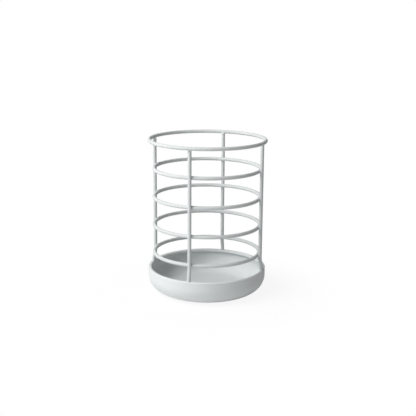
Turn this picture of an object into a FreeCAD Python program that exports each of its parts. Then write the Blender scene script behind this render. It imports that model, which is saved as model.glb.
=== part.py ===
# Wire utensil holder: a pressed steel tray with a wired rim carries a cage of four
# uprights, four hoops inside them and a wider hoop on top. Four pads stand under the tray.
#
# Millimetres, +Z up. The origin is the point on the worktop under the middle of the tray.
# The four uprights stand on the -Y (front), +X (right), +Y (back) and -X (left) sides.
import FreeCAD, Part
import math
import os
import Sketcher

DRIVING_SIZES = [
    ("outer_diameter", 130.0, "across the tray's rim, and across the top hoop"),
    ("overall_height", 171.0, "from the worktop to the crown of the top hoop"),
    ("wire_diameter", 4.0, "coated wire of the hoops and uprights"),
    ("hoop_count", 4.0, "hoops inside the uprights, below the top hoop"),
    ("first_hoop_rise", 16.5, "from the crown of the rim to the middle of the lowest hoop"),
    ("upright_inset", 2.0, "from the middle of the top hoop's wire in to the middle of an upright's"),
    ("weld_setdown", 1.0, "how far two welded wires sink into each other"),
    ("foot_bend_height", 14.0, "height of the outward bend above the rim"),
    ("tray_height", 26.8, "from the underside of the tray to the crown of its rim"),
    ("tray_corner_radius", 18.0, "outer radius between the floor and the wall of the tray"),
    ("sheet_thickness", 1.0, "pressed sheet of the tray"),
    ("rim_diameter", 4.0, "rolled edge of the tray, measured over the sheet"),
    ("rim_corner_radius", 1.2, "outer radius where the wall bends in over the wire"),
    ("rim_wire_clearance", 0.05, "between the wire in the rolled edge and the sheet around it"),
    ("pad_diameter", 10.0, "stick-on pad under the tray"),
    ("pad_thickness", 1.0, "stick-on pad under the tray"),
    ("pad_edge_radius", 0.4, "rounded lower edge of a pad"),
    ("pad_margin", 4.0, "from a pad to where the tray's corner starts to curve"),
]

# Places and sizes that follow from the driving ones, as expressions for the document.
TRAY_RADIUS = "(Sizes.outer_diameter / 2)"
WIRE_RADIUS = "(Sizes.wire_diameter / 2)"
RIM_RADIUS = "(Sizes.rim_diameter / 2)"
FLOOR_RADIUS = f"({TRAY_RADIUS} - Sizes.tray_corner_radius)"
RIM_CENTRE_RADIUS = f"({TRAY_RADIUS} - {RIM_RADIUS})"
RIM_RISE = f"(Sizes.tray_height - {RIM_RADIUS})"
RIM_CENTRE_HEIGHT = f"(Sizes.pad_thickness + {RIM_RISE})"
RIM_CROWN_HEIGHT = "(Sizes.pad_thickness + Sizes.tray_height)"
TOP_HOOP_RADIUS = f"({TRAY_RADIUS} - {WIRE_RADIUS})"
TOP_HOOP_HEIGHT = f"(Sizes.overall_height - {WIRE_RADIUS})"
UPRIGHT_RADIUS = f"({TOP_HOOP_RADIUS} - Sizes.upright_inset)"
HOOP_RADIUS = f"({UPRIGHT_RADIUS} - Sizes.wire_diameter + Sizes.weld_setdown)"
LOWEST_HOOP_HEIGHT = f"({RIM_CROWN_HEIGHT} + Sizes.first_hoop_rise)"
HOOP_PITCH = f"(({TOP_HOOP_HEIGHT} - {LOWEST_HOOP_HEIGHT}) / Sizes.hoop_count)"
UPRIGHT_TIP_HEIGHT = f"({TOP_HOOP_HEIGHT} - {WIRE_RADIUS} + Sizes.weld_setdown)"
PAD_CENTRE_RADIUS = f"({FLOOR_RADIUS} - Sizes.pad_margin - Sizes.pad_diameter / 2)"

SIDES = [("front", -90.0), ("right", 0.0), ("back", 90.0), ("left", 180.0)]

doc = FreeCAD.newDocument("utensil_holder")
sub_parts = []


def make_size_sheet():
    """The spreadsheet of driving sizes: meaning, value, and an alias on the value."""
    sheet = doc.addObject("Spreadsheet::Sheet", "Sizes")
    for row, (alias, value, meaning) in enumerate(DRIVING_SIZES, start=1):
        sheet.set(f"A{row}", meaning)
        sheet.set(f"B{row}", str(value))
        sheet.setAlias(f"B{row}", alias)
    doc.recompute()
    return sheet


def value_of(expression):
    """The number that an expression of the size sheet gives now."""
    return float(sizes.evalExpression(expression.replace("Sizes.", "")))


def origin_plane(body, role):
    """One of a body's own origin planes or axes, found by its role."""
    return next(feature for feature in body.Origin.OriginFeatures if feature.Role == role)


def new_body(label):
    body = doc.addObject("PartDesign::Body", label)
    body.Label = label
    sub_parts.append(body)
    return body


def new_sketch(body, name, role):
    """An empty sketch on one of the body's origin planes."""
    sketch = body.newObject("Sketcher::SketchObject", name)
    sketch.AttachmentSupport = (origin_plane(body, role), [""])
    sketch.MapMode = "FlatFace"
    return sketch


def drive(sketch, kind, name, expression, *geometry):
    """Add a measured constraint and bind its value to an expression."""
    index = sketch.addConstraint(Sketcher.Constraint(kind, *geometry, value_of(expression)))
    sketch.renameConstraint(index, name)
    sketch.setExpression(f"Constraints.{name}", expression)


def point(x, y):
    return FreeCAD.Vector(x, y, 0.0)


def add_circle(sketch, name, x, y, radius):
    """A circle whose centre and radius are bound to expressions; x may be None for on the axis."""
    centre_x = 0.0 if x is None else value_of(x)
    centre_y = 0.0 if y is None else value_of(y)
    circle = Part.Circle(point(centre_x, centre_y), FreeCAD.Vector(0, 0, 1), value_of(radius))
    index = sketch.addGeometry(circle, False)
    drive(sketch, "Radius", f"{name}_radius", radius, index)
    if x is None:
        sketch.addConstraint(Sketcher.Constraint("PointOnObject", index, 3, -2))
    else:
        drive(sketch, "DistanceX", f"{name}_x", x, -1, 1, index, 3)
    if y is None:
        sketch.addConstraint(Sketcher.Constraint("PointOnObject", index, 3, -1))
    else:
        drive(sketch, "DistanceY", f"{name}_y", y, -1, 1, index, 3)


def make_hoop(label, hoop_radius, wire_radius, height):
    """A closed hoop of round wire lying level at a height."""
    hoop = doc.addObject("Part::Torus", label)
    hoop.Label = label
    hoop.setExpression("Radius1", hoop_radius)
    hoop.setExpression("Radius2", wire_radius)
    hoop.setExpression("Placement.Base.z", height)
    sub_parts.append(hoop)


def arc_between(centre, radius, start_degrees, end_degrees):
    """A counter-clockwise arc of a circle lying in the sketch."""
    circle = Part.Circle(point(*centre), FreeCAD.Vector(0, 0, 1), radius)
    return Part.ArcOfCircle(circle, math.radians(start_degrees), math.radians(end_degrees))


def make_tray_dish():
    """The pressed dish, turned about Z from its section.

    The section runs out along the floor, round the corner and up the wall, bends in over the rim
    wire and curls down behind it, then comes back one sheet thickness further in.
    """
    outer = value_of(TRAY_RADIUS)
    sheet = value_of("Sizes.sheet_thickness")
    corner = value_of("Sizes.tray_corner_radius")
    floor = value_of(FLOOR_RADIUS)
    crown = value_of("Sizes.tray_height")
    bend = value_of("Sizes.rim_corner_radius")
    bend_x = outer - bend
    bend_y = crown - bend
    roll = value_of(RIM_RADIUS)
    roll_x = value_of(RIM_CENTRE_RADIUS)
    roll_y = value_of(RIM_RISE)

    body = new_body("tray_dish")
    section = new_sketch(body, "dish_section", "XZ_Plane")
    edges = [
        Part.LineSegment(point(0, 0), point(floor, 0)),
        arc_between((floor, corner), corner, -90, 0),
        Part.LineSegment(point(outer, corner), point(outer, bend_y)),
        arc_between((bend_x, bend_y), bend, 0, 90),
        Part.LineSegment(point(bend_x, crown), point(roll_x, crown)),
        arc_between((roll_x, roll_y), roll, 90, 270),
        Part.LineSegment(point(roll_x, roll_y - roll), point(roll_x, roll_y - roll + sheet)),
        arc_between((roll_x, roll_y), roll - sheet, 90, 270),
        Part.LineSegment(point(roll_x, crown - sheet), point(bend_x, crown - sheet)),
        arc_between((bend_x, bend_y), bend - sheet, 0, 90),
        Part.LineSegment(point(outer - sheet, bend_y), point(outer - sheet, corner)),
        arc_between((floor, corner), corner - sheet, -90, 0),
        Part.LineSegment(point(floor, sheet), point(0, sheet)),
        Part.LineSegment(point(0, sheet), point(0, 0)),
    ]
    added = [section.addGeometry(edge, False) for edge in edges]
    under, outer_corner, wall, bend_out, top_out, roll_out, roll_end = added[:7]
    roll_in, top_in, bend_in, lining, inner_corner, floor_top, axis = added[7:]
    start, end, centre = 1, 2, 3
    joins = [
        ("Tangent", under, end, outer_corner, start),
        ("Tangent", outer_corner, end, wall, start),
        ("Tangent", wall, end, bend_out, start),
        ("Tangent", bend_out, end, top_out, start),
        ("Tangent", top_out, end, roll_out, start),
        ("Coincident", roll_out, end, roll_end, start),
        ("Coincident", roll_end, end, roll_in, end),
        ("Tangent", roll_in, start, top_in, start),
        ("Tangent", top_in, end, bend_in, end),
        ("Tangent", bend_in, start, lining, start),
        ("Tangent", lining, end, inner_corner, end),
        ("Tangent", inner_corner, start, floor_top, start),
        ("Coincident", floor_top, end, axis, start),
        ("Coincident", axis, end, under, start),
        ("Coincident", under, start, -1, 1),
        ("Coincident", outer_corner, centre, inner_corner, centre),
        ("Coincident", bend_out, centre, bend_in, centre),
        ("Coincident", roll_out, centre, roll_in, centre),
        ("Horizontal", under),
        ("Horizontal", floor_top),
        ("Horizontal", top_out),
        ("Horizontal", top_in),
        ("Vertical", wall),
        ("Vertical", roll_end),
        ("Vertical", roll_out, centre, roll_out, end),
        ("Vertical", axis),
    ]
    for kind, *geometry in joins:
        section.addConstraint(Sketcher.Constraint(kind, *geometry))
    drive(section, "DistanceX", "outer_radius", TRAY_RADIUS, -1, 1, wall, end)
    drive(section, "Radius", "corner_radius", "Sizes.tray_corner_radius", outer_corner)
    drive(section, "Radius", "bend_radius", "Sizes.rim_corner_radius", bend_out)
    drive(section, "Radius", "roll_radius", RIM_RADIUS, roll_out)
    drive(section, "DistanceX", "roll_centre", RIM_CENTRE_RADIUS, -1, 1, roll_out, centre)
    drive(section, "DistanceY", "roll_height", RIM_RISE, -1, 1, roll_out, centre)
    drive(section, "DistanceY", "sheet_thickness", "Sizes.sheet_thickness", axis, end, axis, start)
    drive(section, "DistanceY", "roll_thickness", "Sizes.sheet_thickness", roll_end, start, roll_end, end)

    dish = body.newObject("PartDesign::Revolution", "dish")
    dish.Profile = section
    dish.ReferenceAxis = (origin_plane(body, "Z_Axis"), [""])
    dish.Angle = 360.0
    body.setExpression("Placement.Base.z", "Sizes.pad_thickness")


def bend_of(offset, height):
    """Radius and turn, in degrees, of two equal arcs that step sideways by offset over height."""
    turn = 2.0 * math.atan2(offset, height)
    return height / (2.0 * math.sin(turn)), math.degrees(turn)


def make_upright_path(body):
    """The middle line of an upright: an S-bend in from the rim, then a straight up to the top hoop."""
    path = new_sketch(body, "upright_path", "XZ_Plane")
    foot_x = value_of(RIM_CENTRE_RADIUS)
    foot_z = value_of(RIM_CROWN_HEIGHT)
    straight_x = value_of(UPRIGHT_RADIUS)
    straight_z = foot_z + value_of("Sizes.foot_bend_height")
    tip_z = value_of(UPRIGHT_TIP_HEIGHT)
    bend, turn = bend_of(foot_x - straight_x, straight_z - foot_z)
    edges = [
        arc_between((foot_x - bend, foot_z), bend, 0, turn),
        arc_between((straight_x + bend, straight_z), bend, 180, 180 + turn),
        Part.LineSegment(point(straight_x, straight_z), point(straight_x, tip_z)),
    ]
    foot_low, foot_high, straight = (path.addGeometry(edge, False) for edge in edges)
    start, end, centre = 1, 2, 3
    joins = [
        ("Tangent", foot_low, end, foot_high, end),
        ("Tangent", foot_high, start, straight, start),
        ("Equal", foot_low, foot_high),
        ("Vertical", straight),
        ("Horizontal", foot_low, start, foot_low, centre),
    ]
    for kind, *geometry in joins:
        path.addConstraint(Sketcher.Constraint(kind, *geometry))
    drive(path, "DistanceX", "foot_x", RIM_CENTRE_RADIUS, -1, 1, foot_low, start)
    drive(path, "DistanceY", "foot_height", RIM_CROWN_HEIGHT, -1, 1, foot_low, start)
    drive(path, "DistanceX", "straight_x", UPRIGHT_RADIUS, -1, 1, straight, start)
    drive(path, "DistanceY", "foot_bend", "Sizes.foot_bend_height", foot_low, start, straight, start)
    drive(path, "DistanceY", "tip_height", UPRIGHT_TIP_HEIGHT, -1, 1, straight, end)
    return path


def make_upright(side, degrees):
    """One upright: wire bent at its foot, standing on the rim, with a seat cut for each hoop."""
    body = new_body(f"upright_{side}")
    path = make_upright_path(body)
    wire_end = new_sketch(body, "wire_end", "XY_Plane")
    wire_end.setExpression("AttachmentOffset.Base.z", RIM_CROWN_HEIGHT)
    add_circle(wire_end, "wire", RIM_CENTRE_RADIUS, None, WIRE_RADIUS)

    wire = body.newObject("PartDesign::AdditivePipe", "wire")
    wire.Profile = wire_end
    wire.Spine = (path, [f"Edge{number}" for number in range(1, path.GeometryCount + 1)])

    seats = new_sketch(body, "weld_seats", "XZ_Plane")
    for number in range(int(sizes.hoop_count)):
        height = f"{LOWEST_HOOP_HEIGHT} + {number} * {HOOP_PITCH}"
        add_circle(seats, f"hoop_{number + 1}", HOOP_RADIUS, height, WIRE_RADIUS)
    add_circle(seats, "top_hoop", TOP_HOOP_RADIUS, TOP_HOOP_HEIGHT, WIRE_RADIUS)
    doc.recompute()

    seat_cut = body.newObject("PartDesign::Groove", "seat_cut")
    seat_cut.Profile = seats
    seat_cut.ReferenceAxis = (origin_plane(body, "Z_Axis"), [""])
    seat_cut.Angle = 360.0
    body.Placement = FreeCAD.Placement(point(0, 0), FreeCAD.Rotation(FreeCAD.Vector(0, 0, 1), degrees))


def make_foot_pad(side, degrees):
    """One round pad, its lower edge rounded over, stuck flat under the tray."""
    body = new_body(f"foot_pad_{side}")
    outline = new_sketch(body, "pad_outline", "XY_Plane")
    add_circle(outline, "pad", PAD_CENTRE_RADIUS, None, "(Sizes.pad_diameter / 2)")
    disc = body.newObject("PartDesign::Pad", "disc")
    disc.Profile = outline
    disc.setExpression("Length", "Sizes.pad_thickness")
    doc.recompute()

    lower_edge = next(
        f"Edge{number}"
        for number, edge in enumerate(disc.Shape.Edges, start=1)
        if edge.BoundBox.ZMax < value_of("Sizes.pad_thickness") / 2
    )
    rounding = body.newObject("PartDesign::Fillet", "rounded_edge")
    rounding.Base = (disc, [lower_edge])
    rounding.setExpression("Radius", "Sizes.pad_edge_radius")
    body.Placement = FreeCAD.Placement(point(0, 0), FreeCAD.Rotation(FreeCAD.Vector(0, 0, 1), degrees))


def check_document():
    """Stop before anything is written if an object failed or a sub-part's shape is unsound."""
    for item in doc.Objects:
        if "Invalid" in item.State or "Error" in item.State:
            raise RuntimeError(f"{item.Name} did not recompute: {item.State}")
    for item in sub_parts:
        if item.Shape.isNull() or not item.Shape.isValid():
            raise RuntimeError(f"{item.Label} has no sound shape")
        if len(item.Shape.Solids) != 1:
            raise RuntimeError(f"{item.Label} is {len(item.Shape.Solids)} solids, not one")


def write_sub_parts():
    os.makedirs("parts", exist_ok=True)
    for item in sub_parts:
        item.Shape.exportStep(f"parts/{item.Label}.step")
        box = item.Shape.optimalBoundingBox(False)
        print(f"{item.Label}: {item.Shape.Volume:.1f} mm3, z {box.ZMin:.2f} to {box.ZMax:.2f}")


sizes = make_size_sheet()

make_tray_dish()
make_hoop("rim_wire", RIM_CENTRE_RADIUS, f"{RIM_RADIUS} - Sizes.sheet_thickness - Sizes.rim_wire_clearance",
          RIM_CENTRE_HEIGHT)
for hoop_index in range(int(sizes.hoop_count)):
    make_hoop(f"hoop_{hoop_index + 1}", HOOP_RADIUS, WIRE_RADIUS,
              f"{LOWEST_HOOP_HEIGHT} + {hoop_index} * {HOOP_PITCH}")
make_hoop("top_hoop", TOP_HOOP_RADIUS, WIRE_RADIUS, TOP_HOOP_HEIGHT)
for side_name, side_degrees in SIDES:
    make_upright(side_name, side_degrees)
    make_foot_pad(side_name, side_degrees)

doc.recompute()
check_document()
write_sub_parts()
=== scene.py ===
"""Looks of a wire utensil holder: a coated steel tray, its cage of welded wire, and the stage.

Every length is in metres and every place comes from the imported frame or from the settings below.
"""

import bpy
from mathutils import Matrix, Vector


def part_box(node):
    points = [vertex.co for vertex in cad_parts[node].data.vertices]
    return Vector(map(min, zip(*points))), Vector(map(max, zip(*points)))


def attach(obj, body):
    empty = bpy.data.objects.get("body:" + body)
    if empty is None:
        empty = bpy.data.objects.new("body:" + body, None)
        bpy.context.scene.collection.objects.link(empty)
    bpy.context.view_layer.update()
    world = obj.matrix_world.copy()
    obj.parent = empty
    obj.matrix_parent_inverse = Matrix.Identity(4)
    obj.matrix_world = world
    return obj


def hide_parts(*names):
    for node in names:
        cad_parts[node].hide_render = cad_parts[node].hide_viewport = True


bl_info = {
    "name": "Wire utensil holder",
    "version": (1, 0, 0),
    "blender": (4, 5, 0),
    "location": "View3D > Sidebar > Holder",
    "description": "Builds the skins, coats and stage of a welded wire utensil holder",
    "category": "Object",
}

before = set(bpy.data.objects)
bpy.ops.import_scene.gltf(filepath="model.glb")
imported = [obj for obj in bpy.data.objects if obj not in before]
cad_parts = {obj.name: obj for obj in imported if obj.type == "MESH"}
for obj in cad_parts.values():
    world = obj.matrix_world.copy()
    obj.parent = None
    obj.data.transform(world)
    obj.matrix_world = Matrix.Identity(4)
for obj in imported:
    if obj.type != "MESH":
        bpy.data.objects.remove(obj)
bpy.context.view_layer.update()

import math

import bpy
import numpy as np
from mathutils import Matrix, Vector

SIDES = ("front", "right", "back", "left")
QUARTER = math.pi / 2.0
HOOPS = sorted(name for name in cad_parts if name.startswith("hoop_"))
WHITE = (1.0, 1.0, 1.0, 1.0)
TINY = 1e-12  # keeps a division away from zero

# How finely the skins are cut. Bunching draws the steps of a ring together at the four uprights.
WIRE_SIDES = 36
HOOP_STEPS = 520
UPRIGHT_STEPS = 410
END_STEPS = 7
TRAY_STEPS = 480
PAD_STEPS = 72
FLOOR_STEPS = 96
BUNCHING = 0.75
WELD_ROUNDS = 14

# The ring pressed into a foot pad's tread: its depth, and its middle and width as shares of the radius.
TREAD_DEPTH = 0.00012
TREAD_MIDDLE = 0.62
TREAD_WIDTH = 0.08

# The coat's grain: patches for each metre, the fine tooth against the orange peel in scale and in
# height, and how far the tooth varies the roughness.
DRIFT_SCALE = 34.0
TOOTH_SCALE = 4.3
TOOTH_HEIGHT = 0.22
TOOTH_ROUGHNESS = 0.1

# The darker of the two tones that the bare wire and the pads are mottled with.
STEEL_FILM = (0.30, 0.30, 0.31, 1.0)
PAD_CLOUD = (0.44, 0.46, 0.46, 1.0)

# The floor: the paper's tone, its share near the holder, and where that share starts and stops fading.
PAPER_TONE = (0.9, 0.9, 0.9, 1.0)
PAPER_SHARE = 0.1
PAPER_FADE = (0.07, 0.16)

# The key lamp: its side, how far it stands to the left of the camera, and its place and aim.
KEY_SIZE = 1.0
KEY_SWING = math.radians(60.0)
KEY_DISTANCE = 0.87
KEY_HEIGHT = 0.95
KEY_AIM = (0.0, 0.0, 0.08)


# ---------------------------------------------------------------- sizes read from the frame


def ring_of(node):
    """Middle radius, height and wire radius of a level ring, from its box."""
    low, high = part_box(node)
    wire = (high[2] - low[2]) / 2.0
    return high[0] - wire, (high[2] + low[2]) / 2.0, wire


def rolled_rim():
    """Middle radius, height and outer radius of the tray's rolled edge, from the wire inside it."""
    middle, height, _ = ring_of("rim_wire")
    return middle, height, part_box("tray_dish")[1][0] - middle


# ---------------------------------------------------------------- settings


class HolderShape(bpy.types.PropertyGroup):
    """Sizes of the skins that the frame's boxes do not give."""

    sheet: bpy.props.FloatProperty(
        name="Sheet", description="Thickness of the tray's sheet",
        default=0.001, min=0.0004, unit="LENGTH")
    corner: bpy.props.FloatProperty(
        name="Corner", description="Outer radius between the tray's floor and wall",
        default=0.018, unit="LENGTH")
    rim_corner: bpy.props.FloatProperty(
        name="Rim corner", description="Outer radius where the wall bends in over the rim wire",
        default=0.0012, unit="LENGTH")
    foot_bend: bpy.props.FloatProperty(
        name="Foot bend", description="Height of an upright's bend above the rim",
        default=0.014, unit="LENGTH")
    wire_edge: bpy.props.FloatProperty(
        name="Wire edge", description="Rounded edge of an upright's two cut ends",
        default=0.0005, unit="LENGTH")
    weld: bpy.props.FloatProperty(
        name="Weld", description="How far a weld and the coat over it round off a crossing",
        default=0.0006, unit="LENGTH")
    pad_edge: bpy.props.FloatProperty(
        name="Pad edge", description="Radius of a foot pad's lower edge",
        default=0.0004, unit="LENGTH")


class HolderCoat(bpy.types.PropertyGroup):
    """Colours and grain of the finishes."""

    coat_colour: bpy.props.FloatVectorProperty(
        name="Coat", description="Powder coat of the wire and the tray",
        default=(0.678, 0.705, 0.703), subtype="COLOR", min=0.0, max=1.0)
    # The darker coat tone: slow random patches drift towards it, and round the welds it is painted shade in
    # the creases.
    coat_patch_and_crease_shade: bpy.props.FloatVectorProperty(
        name="Coat, thin", description="The same coat where it lies a little thinner",
        default=(0.635, 0.662, 0.66), subtype="COLOR", min=0.0, max=1.0)
    # The wires get the tray's own coat darkened by this share, as painted shade.
    wire_shade_factor: bpy.props.FloatProperty(
        name="Wire cover", description="Lightness of the coat over a wire, as a share of the tray's",
        default=0.9, min=0.0, max=1.0, subtype="FACTOR")
    steel_colour: bpy.props.FloatVectorProperty(
        name="Steel", description="Bare drawn wire inside the rim",
        default=(0.42, 0.42, 0.43), subtype="COLOR", min=0.0, max=1.0)
    pad_colour: bpy.props.FloatVectorProperty(
        name="Pad", description="Soft non-slip pad",
        default=(0.52, 0.54, 0.54), subtype="COLOR", min=0.0, max=1.0)
    roughness: bpy.props.FloatProperty(
        name="Roughness", description="Roughness of the powder coat",
        default=0.72, min=0.0, max=1.0, subtype="FACTOR")
    gloss: bpy.props.FloatProperty(
        name="Gloss", description="Specular level of the powder coat",
        default=0.25, min=0.0, max=1.0, subtype="FACTOR")
    peel_size: bpy.props.FloatProperty(
        name="Peel size", description="Width of one ripple of the coat's orange peel",
        default=0.0011, unit="LENGTH")
    peel_depth: bpy.props.FloatProperty(
        name="Peel depth", description="Height of the coat's orange peel",
        default=0.00002, precision=6, unit="LENGTH")


class HolderStage(bpy.types.PropertyGroup):
    """Camera, lamp and floor."""

    turn: bpy.props.FloatProperty(
        name="Turn", description="How far the camera stands to the right of the front upright",
        default=math.radians(17.25), subtype="ANGLE")
    distance: bpy.props.FloatProperty(
        name="Distance", description="From the holder's axis to the camera, level",
        default=0.8839, unit="LENGTH")
    height: bpy.props.FloatProperty(
        name="Height", description="Camera above the floor",
        default=0.3065, unit="LENGTH")
    pitch: bpy.props.FloatProperty(
        name="Pitch", description="How far the camera looks down",
        default=math.radians(13.581), subtype="ANGLE")
    swing: bpy.props.FloatProperty(
        name="Swing", description="How far the camera looks to the right of the holder's axis",
        default=math.radians(0.0676), subtype="ANGLE")
    roll: bpy.props.FloatProperty(
        name="Roll", description="How far the camera leans",
        default=math.radians(0.416), subtype="ANGLE")
    lens: bpy.props.FloatProperty(
        name="Lens", description="Focal length on a 36 mm sensor, in millimetres",
        default=71.4)
    key_power: bpy.props.FloatProperty(
        name="Key", description="Power of the large soft lamp on the left, in watts",
        default=19.5, min=0.0)
    ambient: bpy.props.FloatProperty(
        name="Ambient", description="Strength of the even light from all round",
        default=0.16, min=0.0)
    bounce: bpy.props.FloatProperty(
        name="Bounce", description="Share of light that the floor throws back up",
        default=0.92, min=0.0, max=1.0, subtype="FACTOR")


# ---------------------------------------------------------------- surfaces


def quads_of(rows, columns, rows_closed):
    """Four-cornered faces of a grid whose columns run all the way round."""
    index = np.arange(rows * columns).reshape(rows, columns)
    if rows_closed:
        below, above = index, np.roll(index, -1, axis=0)
    else:
        below, above = index[:-1], index[1:]
    corners = (below, np.roll(below, -1, axis=1), np.roll(above, -1, axis=1), above)
    return np.stack(corners, axis=-1).reshape(-1, 4)


def fan_of(rim, pole):
    """Three-cornered faces from a closed row of points to one pole."""
    return np.stack((np.roll(rim, -1), rim, np.full_like(rim, pole)), axis=-1)


def end_fans(rows, columns):
    """Three-cornered faces from a grid's first and last rows to the two poles that follow its points."""
    first_row = np.arange(columns)
    last_row = first_row + (rows - 1) * columns
    return np.concatenate((
        fan_of(first_row, rows * columns), fan_of(last_row, rows * columns + 1)[:, ::-1]))


def enclosed_volume(points, triangles):
    """Six times the volume inside a closed mesh: the sum of each face's triple product."""
    a, b, c = (points[triangles[:, corner]] for corner in range(3))
    return float(np.einsum("ij,ij->", a, np.cross(b, c)))


def triangles_of(faces):
    """The triangles of one array of three- or four-cornered faces."""
    if faces.shape[1] == 3:
        return faces
    return np.concatenate((faces[:, (0, 1, 2)], faces[:, (0, 2, 3)]))


def piece_of(name, points, face_arrays, attributes=()):
    """A smooth mesh piece from points and arrays of faces, turned outwards by its volume's sign."""
    triangles = np.concatenate([triangles_of(faces) for faces in face_arrays])
    if enclosed_volume(points, triangles) < 0.0:
        face_arrays = [faces[:, ::-1] for faces in face_arrays]
    loops = np.concatenate([faces.ravel() for faces in face_arrays])
    sizes = np.concatenate([np.full(len(faces), faces.shape[1]) for faces in face_arrays])
    mesh = bpy.data.meshes.new(name)
    mesh.vertices.add(len(points))
    mesh.vertices.foreach_set("co", points.ravel())
    mesh.loops.add(len(loops))
    mesh.loops.foreach_set("vertex_index", loops)
    mesh.polygons.add(len(sizes))
    mesh.polygons.foreach_set("loop_start", np.cumsum(sizes) - sizes)
    mesh.polygons.foreach_set("use_smooth", np.ones(len(sizes), dtype=bool))
    mesh.update(calc_edges=True)
    for label, values in attributes:
        layer = mesh.attributes.new(label, "FLOAT", "POINT")
        layer.data.foreach_set("value", np.ascontiguousarray(values, dtype=np.float32).ravel())
    piece = bpy.data.objects.new(name, mesh)
    bpy.context.scene.collection.objects.link(piece)
    return piece


def add_to_holder(piece, node, material):
    """Gives a new piece its finish, ties it to the body and hides the node it stands for."""
    piece.data.materials.append(material)
    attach(piece, "root")
    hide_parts(node)


def angles_round(count, bunching):
    """Angles once round, closer at the four uprights: an even angle less a share of sin(4 angle)."""
    even = np.linspace(0.0, 2.0 * math.pi, count, endpoint=False)
    return even - bunching / 4.0 * np.sin(4.0 * even)


def lathe(profile, angles):
    """Points of a profile of (radius, height) rows carried round Z: radius by cos and sin, height as is."""
    radius = profile[:, 0, None]
    x = radius * np.cos(angles)
    y = radius * np.sin(angles)
    z = np.broadcast_to(profile[:, 1, None], x.shape)
    return np.stack((x, y, z), axis=-1)


def lathe_normals(profile, angles):
    """Outward directions of a lathe: the profile's own slope turned a right angle, carried round."""
    step = np.gradient(profile, axis=0)
    step /= np.linalg.norm(step, axis=1, keepdims=True) + TINY
    return lathe(np.stack((step[:, 1], -step[:, 0]), axis=1), angles)


def arc(centre, radius, start, end, count):
    """Points of a circle from one angle to another, in degrees."""
    turn = np.radians(np.linspace(start, end, count))
    return np.stack((centre[0] + radius * np.cos(turn), centre[1] + radius * np.sin(turn)), axis=1)


def wire_section():
    """Points once round a circle of radius one."""
    return arc((0.0, 0.0), 1.0, 0.0, 360.0, WIRE_SIDES + 1)[:-1]


def line(start, end, count):
    """Evenly spaced points of a straight stretch, without its two ends."""
    share = np.linspace(0.0, 1.0, count + 2)[1:-1, None]
    return np.array(start) + share * (np.array(end) - np.array(start))


# ---------------------------------------------------------------- wires and the welds between them


def s_bend(travel, offset, height):
    """Sideways shift along an S-bend of two equal tangent arcs, after so much height of it.

    Each arc's radius is (height squared + offset squared) / (4 offset); the first arc drops away
    from the start as radius less the root of radius squared less travel squared, and the second
    mirrors it from the end.
    """
    radius = (height**2 + offset**2) / (4.0 * offset)
    near = np.clip(travel, 0.0, height / 2.0)
    far = np.clip(height - travel, 0.0, height / 2.0)
    first = radius - np.sqrt(radius**2 - near**2)
    second = offset - (radius - np.sqrt(radius**2 - far**2))
    return np.where(travel < height / 2.0, first, second)


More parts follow.
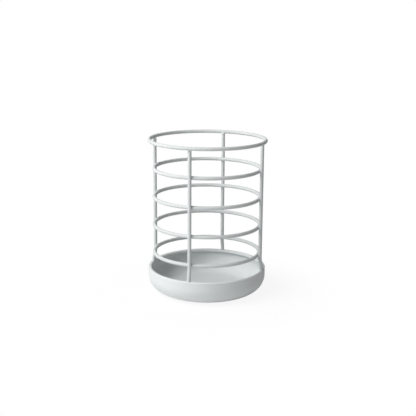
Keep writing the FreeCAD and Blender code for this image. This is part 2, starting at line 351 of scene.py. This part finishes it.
class Cage:
    """Where the wires run, and how far a point is from their surfaces."""

    def __init__(self, shape):
        self.shape = shape
        self.hoops = [ring_of(node) for node in HOOPS]
        self.top = ring_of("top_hoop")
        self.rim = rolled_rim()
        low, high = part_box("upright_right")
        self.wire = (high[1] - low[1]) / 2.0
        self.inner = low[0] + self.wire
        self.foot_height = low[2]
        self.tip_height = high[2]
        self.reach = high[0]

    def line_radius(self, height):
        """Distance of an upright's middle line from Z at a height."""
        return self.rim[0] - s_bend(
            height - self.foot_height, self.rim[0] - self.inner, self.shape.foot_bend)

    def line_slope(self, height):
        """How far the middle line moves out for each unit of height."""
        step = 1e-5
        return (self.line_radius(height + step) - self.line_radius(height - step)) / (2.0 * step)

    def from_ring(self, points, ring):
        """Distance outside a ring's wire."""
        middle, height, wire = ring
        level = np.hypot(points[..., 0], points[..., 1]) - middle
        return np.hypot(level, points[..., 2] - height) - wire

    def from_uprights(self, points):
        """Distance outside the nearest upright, its two cut ends with a rounded edge.

        Both the side and the end are moved in by the edge's radius; the distance is the longer of
        the two inside them, their root of squares outside, less the edge's radius.
        """
        x, y, z = points[..., 0], points[..., 1], points[..., 2]
        turn = np.round(np.arctan2(y, x) / QUARTER) * QUARTER
        out = x * np.cos(turn) + y * np.sin(turn)
        sideways = y * np.cos(turn) - x * np.sin(turn)
        lean = 1.0 / np.sqrt(1.0 + self.line_slope(z) ** 2)
        edge = self.shape.wire_edge
        side = np.hypot((out - self.line_radius(z)) * lean, sideways) - self.wire + edge
        end = np.maximum(z - self.tip_height, self.foot_height - z) + edge
        inside = np.minimum(np.maximum(side, end), 0.0)
        return inside + np.hypot(np.maximum(side, 0.0), np.maximum(end, 0.0)) - edge

    def from_rim(self, points):
        """Distance outside the rolled edge: a circle, squared off over its outer upper quarter."""
        middle, height, roll = self.rim
        out = np.hypot(points[..., 0], points[..., 1]) - middle
        up = points[..., 2] - height
        corner = self.shape.rim_corner
        across, above = out - roll + corner, up - roll + corner
        square = np.hypot(np.maximum(across, 0.0), np.maximum(above, 0.0)) - corner
        square += np.minimum(np.maximum(across, above), 0.0)
        return np.where((out > 0.0) & (up > 0.0), square, np.hypot(out, up) - roll)

    def from_rings(self, points):
        """Distance outside the nearest ring of the cage or the rim."""
        rings = [self.from_ring(points, ring) for ring in (*self.hoops, self.top)]
        return np.min([*rings, self.from_rim(points)], axis=0)

    def weld_together(self, points, normals, first, second):
        """Moves a skin out along its normals on to the rounded union of two bodies.

        The union is the smaller distance less (weld - difference) squared / (4 weld) where the two
        distances differ by less than the weld's size. The move is found in a few steps and never
        passes the weld's size. It also gives how far each point moved, as a share of that size.
        """
        size = self.shape.weld
        moved = np.zeros(points.shape[:-1])
        for _ in range(WELD_ROUNDS):
            here = points + moved[..., None] * normals
            near, other = first(here), second(here)
            overlap = np.maximum(size - np.abs(near - other), 0.0)
            union = np.minimum(near, other) - overlap**2 / (4.0 * size)
            moved = np.clip(moved - union, 0.0, size)
        here = points + moved[..., None] * normals
        level = np.hypot(here[..., 0], here[..., 1])
        trim = np.minimum(1.0, self.reach / np.maximum(level, TINY))
        here[..., :2] *= trim[..., None]
        # The share moved is kept as the weld attribute, which the coats use as a mask for painted shade in
        # the creases.
        return here, moved / size


def hoop_skin(cage, name, ring):
    """A closed hoop: a circle of the wire's radius carried round a level circle, welded to the uprights."""
    middle, height, wire = ring
    around = wire_section()
    along = angles_round(HOOP_STEPS, BUNCHING)
    section = np.array((middle, height)) + wire * around
    points = lathe(section, along)
    normals = lathe(around, along)
    points, weld = cage.weld_together(
        points, normals, lambda here: cage.from_ring(here, ring), cage.from_uprights)
    faces = quads_of(len(around), len(along), rows_closed=True)
    return piece_of(name, points.reshape(-1, 3), [faces], [("weld", weld)])


def upright_skin(cage, name, turn):
    """An upright: a circle carried along its middle line, welded to the rings it crosses.

    The line bends in from the rim and then runs straight. Each end turns over a quarter circle of
    the edge's radius and closes with rings that shrink to the middle.
    """
    edge = cage.shape.wire_edge
    over = np.radians(np.linspace(0.0, 90.0, END_STEPS + 1)[1:])
    closing = np.linspace(cage.wire - edge, 0.0, END_STEPS + 1)[1:-1]
    low, high = cage.foot_height, cage.tip_height
    run = np.linspace(low + edge, high - edge, UPRIGHT_STEPS)
    turned = edge * (1.0 - np.sin(over))
    shrunk = np.concatenate((cage.wire - edge + edge * np.cos(over), closing))
    ends = np.concatenate((over, np.full(len(closing), QUARTER)))
    bottom, top = np.full(len(closing), low), np.full(len(closing), high)
    heights = np.concatenate((bottom, low + turned[::-1], run, high - turned, top))
    radii = np.concatenate((shrunk[::-1], np.full(len(run), cage.wire), shrunk))
    tilt = np.concatenate((-ends[::-1], np.zeros(len(run)), ends))

    slope = cage.line_slope(heights)
    lean = np.sqrt(1.0 + slope**2)
    flat = np.zeros_like(slope)
    across = np.stack((1.0 / lean, flat, -slope / lean), axis=1)
    along = np.stack((slope / lean, flat, 1.0 / lean), axis=1)
    middle = np.stack((cage.line_radius(heights), flat, heights), axis=1)
    around = wire_section()
    sideways = np.array((0.0, 1.0, 0.0))
    spokes = around[:, 0, None] * across[:, None, :] + around[:, 1, None] * sideways
    normals = spokes * np.cos(tilt)[:, None, None] + (along * np.sin(tilt)[:, None])[:, None, :]
    points = middle[:, None, :] + radii[:, None, None] * spokes
    points, weld = cage.weld_together(points, normals, cage.from_uprights, cage.from_rings)

    rows, columns = points.shape[:2]
    faces = quads_of(rows, columns, rows_closed=False)
    points = np.concatenate((points.reshape(-1, 3), middle[[0, -1]]))
    weld = np.concatenate((weld.ravel(), (0.0, 0.0)))
    east, north = math.cos(turn), math.sin(turn)
    spin = np.array(((east, north, 0.0), (-north, east, 0.0), (0.0, 0.0, 1.0)))
    return piece_of(name, points @ spin, [faces, end_fans(rows, columns)], [("weld", weld)])


# ---------------------------------------------------------------- the tray and its pads


def dish_profile(cage):
    """Section of the tray from the middle of its underside round the rolled edge to the floor inside.

    Flat floor, quarter circle, wall, a tight bend in over the rim wire, half a circle down behind
    it, a half round cut edge, then the same stretches back again one sheet further in. It also
    marks the rim's outer skin.
    """
    shape = cage.shape
    roll_middle, roll_height, roll = cage.rim
    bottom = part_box("tray_dish")[0][2]
    outer = roll_middle + roll
    floor = outer - shape.corner
    turn = (floor, bottom + shape.corner)
    rim = (roll_middle, roll_height)
    edge = (roll_middle, roll_height - roll + shape.sheet / 2.0)
    crown = roll_height + roll
    bend = (outer - shape.rim_corner, crown - shape.rim_corner)
    wall_low = (outer, turn[1])
    wall_high = (outer, bend[1])
    lining_low = (outer - shape.sheet, turn[1])
    lining_high = (outer - shape.sheet, bend[1])
    stretches = [
        (line((0.0, bottom), (floor, bottom), 16), False),
        (arc(turn, shape.corner, -90.0, 0.0, 22), False),
        (line(wall_low, wall_high, 12), False),
        (arc(bend, shape.rim_corner, 0.0, 90.0, 14), True),
        (line((bend[0], crown), (roll_middle, crown), 4), True),
        (arc(rim, roll, 90.0, 270.0, 36), True),
        (arc(edge, shape.sheet / 2.0, -90.0, 90.0, 9)[1:-1], False),
        (arc(rim, roll - shape.sheet, 270.0, 90.0, 20), False),
        (line((roll_middle, crown - shape.sheet), (bend[0], crown - shape.sheet), 2), False),
        (arc(bend, shape.rim_corner - shape.sheet, 90.0, 0.0, 4), False),
        (line(lining_high, lining_low, 8), False),
        (arc(turn, shape.corner - shape.sheet, 0.0, -90.0, 22), False),
        (line((floor, bottom + shape.sheet), (0.0, bottom + shape.sheet), 16), False),
    ]
    profile = np.concatenate([points for points, _ in stretches])
    on_roll = np.concatenate([np.full(len(points), marked) for points, marked in stretches])
    return profile, on_roll


def capped_lathe(name, profile, angles, points, attributes=()):
    """A lathe closed at the axis by a pole at each end of its profile."""
    rows, columns = points.shape[:2]
    poles = np.array(((0.0, 0.0, profile[0, 1]), (0.0, 0.0, profile[-1, 1])))
    faces = [quads_of(rows, columns, rows_closed=False), end_fans(rows, columns)]
    return piece_of(name, np.concatenate((points.reshape(-1, 3), poles)), faces, attributes)


def dish_skin(cage, name):
    """The tray: its section carried round Z, the rolled edge welded to the uprights' feet."""
    profile, on_roll = dish_profile(cage)
    angles = angles_round(TRAY_STEPS, BUNCHING)
    points = lathe(profile, angles)
    normals = lathe_normals(profile, angles)
    welded, weld = cage.weld_together(
        points[on_roll], normals[on_roll], cage.from_rim, cage.from_uprights)
    points[on_roll] = welded
    amount = np.zeros(points.shape[:2])
    amount[on_roll] = weld
    amount = np.concatenate((amount.ravel(), (0.0, 0.0)))
    return capped_lathe(name, profile, angles, points, [("weld", amount)])


def pad_skin(name, node, edge):
    """A foot pad: a flat disc with a rounded lower edge and a shallow ring pressed into its tread.

    The ring rises by its depth times exp(-(distance from its middle / its width) squared).
    """
    low, high = (np.array(corner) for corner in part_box(node))
    radius = (high[0] - low[0]) / 2.0
    tread = line((0.0, low[2]), (radius - edge, low[2]), 22)
    from_ring = (tread[:, 0] / radius - TREAD_MIDDLE) / TREAD_WIDTH
    tread[:, 1] += TREAD_DEPTH * np.exp(-(from_ring**2))
    profile = np.concatenate((
        tread,
        arc((radius - edge, low[2] + edge), edge, -90.0, 0.0, 9),
        line((radius, low[2] + edge), (radius, high[2]), 2),
        np.array(((radius, high[2]),)),
        line((radius, high[2]), (0.0, high[2]), 6),
    ))
    angles = angles_round(PAD_STEPS, 0.0)
    points = lathe(profile, angles)
    piece = capped_lathe(name, profile, angles, points)
    middle = (low + high) / 2.0
    piece.data.transform(Matrix.Translation((middle[0], middle[1], 0.0)))
    return piece


# ---------------------------------------------------------------- finishes


class Nodes:
    """A short way to add and join nodes in one tree."""

    def __init__(self, tree):
        self.tree = tree

    def add(self, kind, links=(), **values):
        """A node with its attributes set, and its inputs given as values or as other sockets."""
        node = self.tree.nodes.new(kind)
        for label, value in values.items():
            setattr(node, label, value)
        for socket, source in dict(links).items():
            if isinstance(source, bpy.types.NodeSocket):
                self.tree.links.new(source, node.inputs[socket])
            else:
                node.inputs[socket].default_value = source
        return node


def lay_out(tree):
    """Sets nodes side by side in the order they were made."""
    for index, node in enumerate(tree.nodes):
        node.location = (220.0 * (index % 8), -260.0 * (index // 8))


def coat_grain_group():
    """Powder coat: slow drift of its thickness, orange peel and a fine tooth, as values."""
    name = "coat_grain"
    if name in bpy.data.node_groups:
        return bpy.data.node_groups[name]
    tree = bpy.data.node_groups.new(name, "ShaderNodeTree")
    for label, default in (("Peel Size", 0.0011), ("Peel Depth", 0.00002), ("Roughness", 0.72)):
        socket = tree.interface.new_socket(label, in_out="INPUT", socket_type="NodeSocketFloat")
        socket.default_value = default
    for label in ("Drift", "Height", "Roughness"):
        tree.interface.new_socket(label, in_out="OUTPUT", socket_type="NodeSocketFloat")
    make = Nodes(tree)
    given = make.add("NodeGroupInput")
    place = make.add("ShaderNodeTexCoord").outputs["Object"]
    ripples = make.add("ShaderNodeMath", {0: 1.0, 1: given.outputs["Peel Size"]}, operation="DIVIDE")
    peel = make.add("ShaderNodeTexNoise", {
        "Vector": place, "Scale": ripples.outputs[0], "Detail": 1.5, "Roughness": 0.45})
    fine = make.add("ShaderNodeMath", {0: ripples.outputs[0], 1: TOOTH_SCALE}, operation="MULTIPLY")
    tooth = make.add("ShaderNodeTexNoise", {
        "Vector": place, "Scale": fine.outputs[0], "Detail": 2.0, "Roughness": 0.6})
    drift = make.add("ShaderNodeTexNoise", {
        "Vector": place, "Scale": DRIFT_SCALE, "Detail": 3.0, "Roughness": 0.55})
    both = make.add("ShaderNodeMath", {
        0: tooth.outputs["Fac"], 1: TOOTH_HEIGHT, 2: peel.outputs["Fac"]}, operation="MULTIPLY_ADD")
    height = make.add("ShaderNodeMath", {
        0: both.outputs[0], 1: given.outputs["Peel Depth"]}, operation="MULTIPLY")
    rough = make.add("ShaderNodeMath", {
        0: tooth.outputs["Fac"], 1: TOOTH_ROUGHNESS, 2: given.outputs["Roughness"]},
        operation="MULTIPLY_ADD")
    rough = make.add("ShaderNodeMath", {
        0: rough.outputs[0], 1: TOOTH_ROUGHNESS / 2.0}, operation="SUBTRACT")
    patches = make.add("ShaderNodeMapRange", {
        "Value": drift.outputs["Fac"], "From Min": 0.3, "From Max": 0.7})
    make.add("NodeGroupOutput", {
        "Drift": patches.outputs[0], "Height": height.outputs[0], "Roughness": rough.outputs[0]})
    lay_out(tree)
    return tree


def new_material(name):
    """An empty node material, and the helper that fills it."""
    material = bpy.data.materials.new(name)
    material.use_nodes = True
    material.node_tree.nodes.clear()
    return material, Nodes(material.node_tree)


def coat_material(name, coat, shade_factor, drift_share, crease_shade_share):
    """Powder-coated steel: the colour drifts to a darker tone in slow random patches, and darkens round the
    welds as painted shade in the creases.

    Both colours are multiplied by the piece's lightness factor; below one, as on the wires, it darkens this
    copy of the same coat as painted shade.
    """
    if name in bpy.data.materials:
        return bpy.data.materials[name]
    material, make = new_material(name)
    grain = make.add("ShaderNodeGroup", node_tree=coat_grain_group())
    grain.inputs["Peel Size"].default_value = coat.peel_size
    grain.inputs["Peel Depth"].default_value = coat.peel_depth
    grain.inputs["Roughness"].default_value = coat.roughness
    weld = make.add("ShaderNodeAttribute", attribute_name="weld").outputs["Fac"]
    # Painted shade: the weld share darkens the coat in the creases round the crossings and the welded feet.
    crease_shade = make.add("ShaderNodeMath", {0: weld, 1: crease_shade_share}, operation="MULTIPLY")
    # How far the colour goes to the darker tone: random drift patches plus the painted crease shade.
    thin = make.add("ShaderNodeMath", {
        0: grain.outputs["Drift"], 1: drift_share, 2: crease_shade.outputs[0]},
        operation="MULTIPLY_ADD", use_clamp=True)
    full = (*(shade_factor * channel for channel in coat.coat_colour), 1.0)
    shade = (*(shade_factor * channel for channel in coat.coat_patch_and_crease_shade), 1.0)
    colour = make.add("ShaderNodeMix", {
        "Factor": thin.outputs[0], "A": full, "B": shade}, data_type="RGBA")
    bump = make.add("ShaderNodeBump", {"Height": grain.outputs["Height"], "Distance": 1.0})
    surface = make.add("ShaderNodeBsdfPrincipled", {
        "Base Color": colour.outputs["Result"], "Roughness": grain.outputs["Roughness"],
        "Specular IOR Level": coat.gloss, "Normal": bump.outputs["Normal"]})
    make.add("ShaderNodeOutputMaterial", {"Surface": surface.outputs[0]})
    lay_out(material.node_tree)
    return material


def wire_coat(coat):
    """The coat on the hoops and uprights: the tray's coat darkened by the wire factor as painted shade,
    with painted shade in the weld creases.
    """
    return coat_material("wire_coat", coat, coat.wire_shade_factor, drift_share=0.6, crease_shade_share=0.6)


def steel_material(coat):
    """Bare drawn wire: fine draw lines run along the ring, with a thin oily drift of tone."""
    material, make = new_material("drawn_steel")
    place = make.add("ShaderNodeTexCoord").outputs["Object"]
    split = make.add("ShaderNodeSeparateXYZ", {"Vector": place})
    reach = make.add("ShaderNodeVectorMath", {
        0: place, 1: (1.0, 1.0, 0.0)}, operation="MULTIPLY")
    level = make.add("ShaderNodeVectorMath", {0: reach.outputs[0]}, operation="LENGTH")
    section = make.add("ShaderNodeCombineXYZ", {"X": level.outputs["Value"], "Y": split.outputs["Z"]})
    lines = make.add("ShaderNodeTexNoise", {
        "Vector": section.outputs[0], "Scale": 9000.0, "Detail": 2.0})
    tone = make.add("ShaderNodeTexNoise", {"Vector": place, "Scale": 60.0, "Detail": 3.0})
    colour = make.add("ShaderNodeMix", {
        "Factor": tone.outputs["Fac"], "A": (*coat.steel_colour, 1.0), "B": STEEL_FILM},
        data_type="RGBA")
    rough = make.add("ShaderNodeMapRange", {
        "Value": lines.outputs["Fac"], "To Min": 0.25, "To Max": 0.5})
    surface = make.add("ShaderNodeBsdfPrincipled", {
        "Base Color": colour.outputs["Result"], "Metallic": 1.0, "Roughness": rough.outputs[0]})
    make.add("ShaderNodeOutputMaterial", {"Surface": surface.outputs[0]})
    lay_out(material.node_tree)
    return material


def pad_material(coat):
    """Soft non-slip pad: cloudy grey with a fine moulded grain."""
    material, make = new_material("soft_pad")
    place = make.add("ShaderNodeTexCoord").outputs["Object"]
    cloud = make.add("ShaderNodeTexNoise", {"Vector": place, "Scale": 260.0, "Detail": 3.0})
    grain = make.add("ShaderNodeTexVoronoi", {"Vector": place, "Scale": 3800.0})
    colour = make.add("ShaderNodeMix", {
        "Factor": cloud.outputs["Fac"], "A": (*coat.pad_colour, 1.0), "B": PAD_CLOUD},
        data_type="RGBA")
    bump = make.add("ShaderNodeBump", {
        "Height": grain.outputs["Distance"], "Strength": 0.4, "Distance": 0.00004})
    rough = make.add("ShaderNodeMapRange", {
        "Value": cloud.outputs["Fac"], "To Min": 0.5, "To Max": 0.7})
    surface = make.add("ShaderNodeBsdfPrincipled", {
        "Base Color": colour.outputs["Result"], "Roughness": rough.outputs[0],
        "Normal": bump.outputs["Normal"], "Subsurface Weight": 0.25,
        "Subsurface Radius": (0.001, 0.001, 0.001)})
    make.add("ShaderNodeOutputMaterial", {"Surface": surface.outputs[0]})
    lay_out(material.node_tree)
    return material


# ---------------------------------------------------------------- stage


def seen_directly(make):
    """One for rays that show the surroundings as they look: camera, mirror and see-through rays."""
    ray = make.add("ShaderNodeLightPath")
    seen = make.add("ShaderNodeMath", {
        0: ray.outputs["Is Camera Ray"], 1: ray.outputs["Is Glossy Ray"]}, operation="MAXIMUM")
    return make.add("ShaderNodeMath", {
        0: seen.outputs[0], 1: ray.outputs["Is Transmission Ray"]}, operation="MAXIMUM").outputs[0]


def floor_material(bounce):
    """White ground: plain white far off, and near the holder a share of paper that takes its shadow.

    The light it throws back up is that of a paper whose tone is the bounce setting.
    """
    material, make = new_material("white_floor")
    place = make.add("ShaderNodeTexCoord").outputs["Object"]
    away = make.add("ShaderNodeVectorMath", {0: place}, operation="LENGTH")
    plain = make.add("ShaderNodeMapRange", {
        "Value": away.outputs["Value"], "From Min": PAPER_FADE[0], "From Max": PAPER_FADE[1],
        "To Min": 1.0 - PAPER_SHARE, "To Max": 1.0}, interpolation_type="SMOOTHSTEP")
    seen = seen_directly(make)
    share = make.add("ShaderNodeMath", {0: seen, 1: plain.outputs[0]}, operation="MULTIPLY")
    tone = make.add("ShaderNodeMix", {
        "Factor": seen, "A": (bounce, bounce, bounce, 1.0), "B": PAPER_TONE}, data_type="RGBA")
    paper = make.add("ShaderNodeBsdfDiffuse", {"Color": tone.outputs["Result"]})
    white = make.add("ShaderNodeEmission", {"Color": WHITE, "Strength": 1.0})
    ground = make.add("ShaderNodeMixShader", {
        0: share.outputs[0], 1: paper.outputs[0], 2: white.outputs[0]})
    under = make.add("ShaderNodeNewGeometry").outputs["Backfacing"]
    clear = make.add("ShaderNodeBsdfTransparent")
    whole = make.add("ShaderNodeMixShader", {0: under, 1: ground.outputs[0], 2: clear.outputs[0]})
    make.add("ShaderNodeOutputMaterial", {"Surface": whole.outputs[0]})
    lay_out(material.node_tree)
    return material


def make_floor(bounce):
    """A wide round floor: rings of points out to two metres, on the plane the pads rest on."""
    radii = np.concatenate((np.linspace(0.02, 0.4, 12), (0.8, 2.0)))
    profile = np.stack((radii, np.zeros_like(radii)), axis=1)
    angles = angles_round(FLOOR_STEPS, 0.0)
    points = np.concatenate((lathe(profile, angles).reshape(-1, 3), ((0.0, 0.0, 0.0),)))
    faces = quads_of(len(radii), len(angles), rows_closed=False)
    fan = fan_of(np.arange(len(angles)), len(radii) * len(angles))
    mesh = bpy.data.meshes.new("floor")
    mesh.from_pydata(points.tolist(), [], faces[:, ::-1].tolist() + fan[:, ::-1].tolist())
    mesh.materials.append(floor_material(bounce))
    floor = bpy.data.objects.new("floor", mesh)
    bpy.context.scene.collection.objects.link(floor)


def make_world(ambient):
    """Even light from all round, seen as plain white by the camera and in reflections."""
    world = bpy.data.worlds.new("studio")
    bpy.context.scene.world = world
    world.use_nodes = True
    world.node_tree.nodes.clear()
    make = Nodes(world.node_tree)
    even = make.add("ShaderNodeBackground", {"Color": WHITE, "Strength": ambient})
    white = make.add("ShaderNodeBackground", {"Color": WHITE, "Strength": 1.0})
    sky = make.add("ShaderNodeMixShader", {0: seen_directly(make), 1: even.outputs[0], 2: white.outputs[0]})
    make.add("ShaderNodeOutputWorld", {"Surface": sky.outputs[0]})
    lay_out(world.node_tree)


def make_key(stage):
    """The square key lamp, to the left of the camera and aimed at the holder's lower half."""
    lamp = bpy.data.lights.new("key", "AREA")
    lamp.shape = "SQUARE"
    lamp.size = KEY_SIZE
    lamp.energy = stage.key_power
    bearing = stage.turn - KEY_SWING
    box = bpy.data.objects.new("key", lamp)
    box.location = (KEY_DISTANCE * math.sin(bearing), -KEY_DISTANCE * math.cos(bearing), KEY_HEIGHT)
    bpy.context.scene.collection.objects.link(box)
    direction = Vector(KEY_AIM) - box.location
    box.rotation_euler = direction.to_track_quat("-Z", "Y").to_euler()
    box.visible_camera = False


def make_camera(stage):
    """The camera: right of the front upright by the turn, looking down a little, with a slight lean."""
    lens = bpy.data.cameras.new("camera")
    lens.sensor_width = 36.0
    lens.lens = stage.lens
    lens.clip_start = 0.01
    camera = bpy.data.objects.new("camera", lens)
    bpy.context.scene.collection.objects.link(camera)
    camera.location = (
        stage.distance * math.sin(stage.turn), -stage.distance * math.cos(stage.turn), stage.height)
    facing = Matrix.Rotation(stage.turn - stage.swing, 4, "Z")
    level = facing @ Matrix.Rotation(math.pi / 2.0 - stage.pitch, 4, "X")
    camera.rotation_euler = (level @ Matrix.Rotation(stage.roll, 4, "Z")).to_euler()
    bpy.context.scene.camera = camera


# ---------------------------------------------------------------- operators


class HOLDER_OT_tray(bpy.types.Operator):
    """Makes the pressed tray with its rolled edge"""

    bl_idname = "holder.tray"
    bl_label = "Tray"

    def execute(self, context):
        scene = context.scene
        cage = Cage(scene.holder_shape)
        # The tray's coat darkens round the uprights' feet as painted shade in the crease.
        coat = coat_material("sheet_coat", scene.holder_coat, 1.0, drift_share=0.45, crease_shade_share=0.5)
        add_to_holder(dish_skin(cage, "tray_skin"), "tray_dish", coat)
        return {"FINISHED"}


class HOLDER_OT_rim_wire(bpy.types.Operator):
    """Gives the wire inside the rolled edge its bare steel"""

    bl_idname = "holder.rim_wire"
    bl_label = "Rim wire"

    def execute(self, context):
        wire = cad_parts["rim_wire"]
        wire.data.materials.clear()
        wire.data.materials.append(steel_material(context.scene.holder_coat))
        return {"FINISHED"}


class HOLDER_OT_hoops(bpy.types.Operator):
    """Makes the hoops inside the uprights and the wider hoop on top"""

    bl_idname = "holder.hoops"
    bl_label = "Hoops"

    def execute(self, context):
        scene = context.scene
        cage = Cage(scene.holder_shape)
        coat = wire_coat(scene.holder_coat)
        for node in (*HOOPS, "top_hoop"):
            skin = hoop_skin(cage, f"{node}_skin", ring_of(node))
            add_to_holder(skin, node, coat)
        return {"FINISHED"}


class HOLDER_OT_uprights(bpy.types.Operator):
    """Makes the four bent uprights"""

    bl_idname = "holder.uprights"
    bl_label = "Uprights"

    def execute(self, context):
        scene = context.scene
        cage = Cage(scene.holder_shape)
        coat = wire_coat(scene.holder_coat)
        for index, side in enumerate(SIDES):
            turn = (index - 1) * QUARTER
            skin = upright_skin(cage, f"upright_{side}_skin", turn)
            add_to_holder(skin, f"upright_{side}", coat)
        return {"FINISHED"}


class HOLDER_OT_pads(bpy.types.Operator):
    """Makes the four foot pads under the tray"""

    bl_idname = "holder.pads"
    bl_label = "Foot pads"

    def execute(self, context):
        scene = context.scene
        soft = pad_material(scene.holder_coat)
        for side in SIDES:
            node = f"foot_pad_{side}"
            skin = pad_skin(f"{node}_skin", node, scene.holder_shape.pad_edge)
            add_to_holder(skin, node, soft)
        return {"FINISHED"}


class HOLDER_OT_stage(bpy.types.Operator):
    """Makes the floor, the lamp, the even light and the camera"""

    bl_idname = "holder.stage"
    bl_label = "Stage"

    def execute(self, context):
        scene = context.scene
        stage = scene.holder_stage
        scene.view_settings.view_transform = "Standard"
        make_floor(stage.bounce)
        make_world(stage.ambient)
        make_key(stage)
        make_camera(stage)
        return {"FINISHED"}


class HOLDER_PT_panel(bpy.types.Panel):
    """Settings and steps of the holder"""

    bl_idname = "HOLDER_PT_panel"
    bl_label = "Wire utensil holder"
    bl_space_type = "VIEW_3D"
    bl_region_type = "UI"
    bl_category = "Holder"

    def draw(self, context):
        layout = self.layout
        scene = context.scene
        for settings in (scene.holder_shape, scene.holder_coat, scene.holder_stage):
            box = layout.box()
            for label in settings.bl_rna.properties.keys():
                if label not in {"rna_type", "name"}:
                    box.prop(settings, label)
        for step in STEPS:
            layout.operator(step.bl_idname)


SETTINGS = (HolderShape, HolderCoat, HolderStage)
STEPS = (
    HOLDER_OT_tray,
    HOLDER_OT_rim_wire,
    HOLDER_OT_hoops,
    HOLDER_OT_uprights,
    HOLDER_OT_pads,
    HOLDER_OT_stage,
)


def register():
    for item in (*SETTINGS, *STEPS, HOLDER_PT_panel):
        bpy.utils.register_class(item)
    bpy.types.Scene.holder_shape = bpy.props.PointerProperty(type=HolderShape)
    bpy.types.Scene.holder_coat = bpy.props.PointerProperty(type=HolderCoat)
    bpy.types.Scene.holder_stage = bpy.props.PointerProperty(type=HolderStage)


def unregister():
    del bpy.types.Scene.holder_stage
    del bpy.types.Scene.holder_coat
    del bpy.types.Scene.holder_shape
    for item in reversed((*SETTINGS, *STEPS, HOLDER_PT_panel)):
        bpy.utils.unregister_class(item)


def main():
    register()
    bpy.ops.holder.tray()
    bpy.ops.holder.rim_wire()
    bpy.ops.holder.hoops()
    bpy.ops.holder.uprights()
    bpy.ops.holder.pads()
    bpy.ops.holder.stage()


if __name__ == "__main__":
    main()
